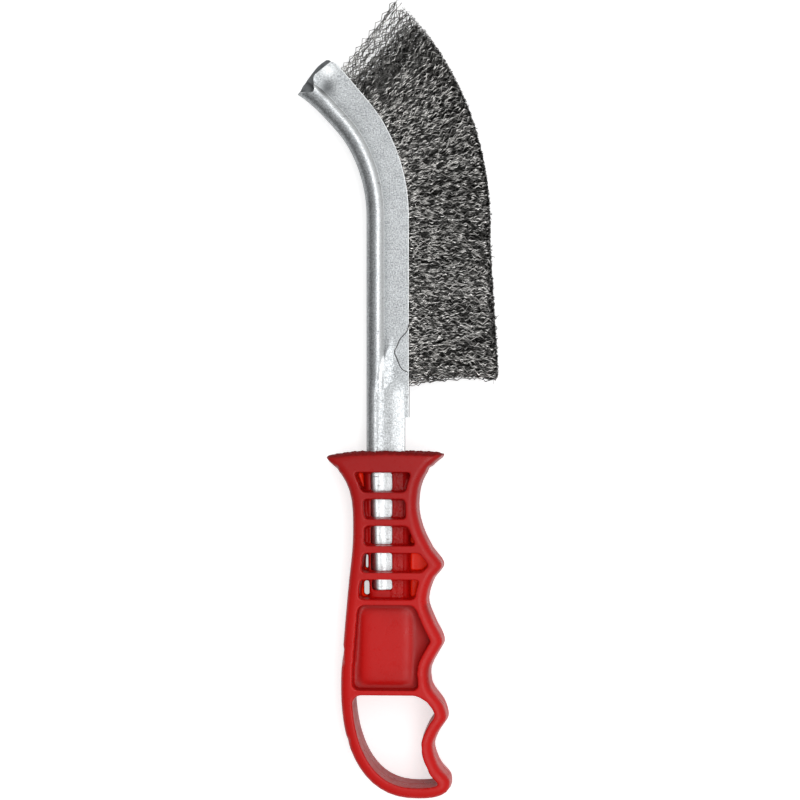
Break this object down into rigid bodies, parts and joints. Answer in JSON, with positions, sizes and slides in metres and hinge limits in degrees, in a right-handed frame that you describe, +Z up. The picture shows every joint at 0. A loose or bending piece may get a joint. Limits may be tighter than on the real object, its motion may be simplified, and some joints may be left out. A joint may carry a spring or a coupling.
{
  "type": "wire hand brush",
  "caption": "Curved channel brush of crimped steel wire in a folded steel holder, with a scraper tip and an open plastic finger-grip handle.",
  "frame": {"origin": "under the middle of the brush's box, on the surface that it lies on", "axes": "+Y from the handle's heel to the brush head, +X to the side that the wires point to, +Z up through the handle's thickness"},
  "size_m": [0.0662, 0.2606, 0.018],
  "materials": {
    "red_plastic": "moulded polypropylene, semi-gloss",
    "galvanised_steel": "galvanised sheet, fine scratches",
    "core_wire_steel": "drawn wire",
    "crimped_wire": "crimped bright steel wire"
  },
  "bodies": {
    "root": {"handle": "red_plastic", "holder": "galvanised_steel", "core_wire": "core_wire_steel", "wire_fill_01": "crimped_wire", "wire_fill_02": "crimped_wire", "wire_fill_03": "crimped_wire", "wire_fill_04": "crimped_wire", "wire_fill_05": "crimped_wire", "wire_fill_06": "crimped_wire", "wire_fill_07": "crimped_wire", "wire_fill_08": "crimped_wire", "wire_fill_09": "crimped_wire"}
  },
  "joints": []
}
